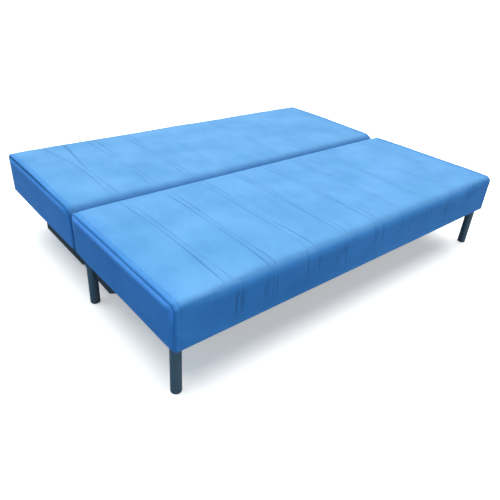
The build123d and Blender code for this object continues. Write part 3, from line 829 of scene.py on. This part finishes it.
def dust_sheet(name):
    """Dust cloth of one section: a thin sheet whose level dips by a few millimetres between
    the rails, with small scallops between the staples at its edge."""
    low_corner, high_corner = (np.array(c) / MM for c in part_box(f"{name}_dust_cover"))
    x = np.linspace(low_corner[0], high_corner[0], 181)
    y = np.linspace(low_corner[1], high_corner[1], 61)
    gx, gy = np.meshgrid(x, y, indexing="ij")
    edge = np.minimum(gx - low_corner[0], high_corner[0] - gx)
    edge = np.minimum(edge, np.minimum(gy - low_corner[1], high_corner[1] - gy))
    z = high_corner[2] - 0.9 - 3.2 * smooth_step(edge / 160)
    z -= 0.5 * np.sin(gx / 13) * bump_at(edge - 12, 12)
    z += 0.5 * np.sin(gx / 47 + gy / 31) * smooth_step(edge / 60)
    grid = np.stack([gx, gy, z], -1)
    faces = grid_faces(*gx.shape)[:, ::-1]
    piece = mesh_piece(f"{name}_dust_sheet", grid.reshape(-1, 3) * MM, faces)
    piece.data.materials.append(lining_material)
    wall = piece.modifiers.new("lining_thickness", "SOLIDIFY")
    wall.thickness = 0.5 * MM
    wall.offset = -1
    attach(piece, name)
    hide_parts(f"{name}_dust_cover")


for name, (y, *_) in SECTIONS.items():
    foam_block(name, y)
    dust_sheet(name)

# ---------------------------------------------------------------- timber
# Sawn pine rails and blocks with the grain along their length, and smooth laminated birch
# slats. The grain group stretches its rings along one axis and adds darker late wood.


def grain_group():
    """Shader group: wood grain from noise stretched by the mapping before it, put out as a
    colour between early and late wood and as a height."""
    group = bpy.data.node_groups.new("wood_grain", "ShaderNodeTree")
    face = group.interface
    for label, kind in (
        ("Vector", "NodeSocketVector"),
        ("Early", "NodeSocketColor"),
        ("Late", "NodeSocketColor"),
    ):
        face.new_socket(label, in_out="INPUT", socket_type=kind)
    for label, kind in (("Colour", "NodeSocketColor"), ("Height", "NodeSocketFloat")):
        face.new_socket(label, in_out="OUTPUT", socket_type=kind)
    nodes, links = group.nodes, group.links
    given = nodes.new("NodeGroupInput")
    result = nodes.new("NodeGroupOutput")
    rings = nodes.new("ShaderNodeTexWave")
    rings.inputs["Scale"].default_value = 9
    rings.inputs["Distortion"].default_value = 6
    rings.inputs["Detail"].default_value = 3
    pores = nodes.new("ShaderNodeTexNoise")
    pores.inputs["Scale"].default_value = 160
    pores.inputs["Detail"].default_value = 4
    both = nodes.new("ShaderNodeMath")
    both.operation = "MULTIPLY"
    mixed = nodes.new("ShaderNodeMix")
    mixed.data_type = "RGBA"
    for texture in (rings, pores):
        links.new(given.outputs["Vector"], texture.inputs["Vector"])
    links.new(rings.outputs["Fac"], both.inputs[0])
    links.new(pores.outputs["Fac"], both.inputs[1])
    links.new(both.outputs["Value"], mixed.inputs["Factor"])
    links.new(given.outputs["Early"], mixed.inputs["A"])
    links.new(given.outputs["Late"], mixed.inputs["B"])
    links.new(mixed.outputs["Result"], result.inputs["Colour"])
    links.new(pores.outputs["Fac"], result.inputs["Height"])
    return group


grain = grain_group()


def wood(name, early, late, stretch, roughness):
    """A timber whose grain runs along the axis with the smallest stretch."""
    made, shader = plain_material(name, early, roughness)
    nodes, links = made.node_tree.nodes, made.node_tree.links
    turn = nodes.new("ShaderNodeMapping")
    turn.inputs["Scale"].default_value = stretch
    effect = nodes.new("ShaderNodeGroup")
    effect.node_tree = grain
    effect.inputs["Early"].default_value = (*early, 1)
    effect.inputs["Late"].default_value = (*late, 1)
    links.new(nodes.new("ShaderNodeTexCoord").outputs["Object"], turn.inputs["Vector"])
    links.new(turn.outputs["Vector"], effect.inputs["Vector"])
    links.new(effect.outputs["Colour"], shader.inputs["Base Color"])
    raised = nodes.new("ShaderNodeBump")
    raised.inputs["Strength"].default_value = 0.3
    raised.inputs["Distance"].default_value = 0.0005
    links.new(effect.outputs["Height"], raised.inputs["Height"])
    links.new(raised.outputs["Normal"], shader.inputs["Normal"])
    return made


PINE = ((0.62, 0.42, 0.22), (0.36, 0.20, 0.08))
BIRCH = ((0.70, 0.55, 0.35), (0.50, 0.34, 0.18))
pine_along = wood("pine_along", *PINE, (0.08, 1, 1), 0.7)
pine_across = wood("pine_across", *PINE, (1, 0.08, 1), 0.7)
birch = wood("birch_slat", *BIRCH, (1, 0.06, 1), 0.45)

# ---------------------------------------------------------------- metal and plastic pieces
# Leg tubes are powder coated slate grey, side plates and brackets black; the ratchets and
# pawls are oiled blackened steel, the bolts bright zinc, the glides and holders black plastic.

leg_paint = speckled(
    "slate_powder_coat", (0.075, 0.105, 0.138), (0.125, 0.170, 0.215), 900, 0.0002, (0.32, 0.5)
)
black_paint = speckled(
    "black_paint", (0.002, 0.002, 0.0025), (0.006, 0.006, 0.007), 700, 0.0002, (0.4, 0.6)
)
oiled_steel = speckled(
    "oiled_steel", (0.08, 0.08, 0.085), (0.2, 0.2, 0.21), 500, 0.0001, (0.28, 0.45), 0.9
)
zinc = speckled("zinc_plate", (0.5, 0.5, 0.5), (0.68, 0.69, 0.7), 600, 0.0001, (0.22, 0.4), 1.0)
plastic = speckled(
    "black_plastic", (0.012, 0.012, 0.012), (0.03, 0.03, 0.03), 1100, 0.0002, (0.5, 0.7)
)

FINISHES = {
    "leg_paint": leg_paint,
    "black_steel": black_paint,
    "hardened_steel": oiled_steel,
    "zinc": zinc,
    "black_plastic": plastic,
    "birch_slat": birch,
    "felt": felt_material,
    "foam": foam_material,
    "velvet": velvet,
    "dust_cloth": lining_material,
}
for part in frame["record"]["subparts"]:
    node = part["node"]
    runs_across = node.endswith(("left_rail", "right_rail", "cross_rails"))
    timber = pine_across if runs_across else pine_along
    mesh = bpy.data.objects[node].data
    finish = FINISHES.get(part["material_slot"], timber)
    mesh.materials.clear()
    mesh.materials.append(finish)
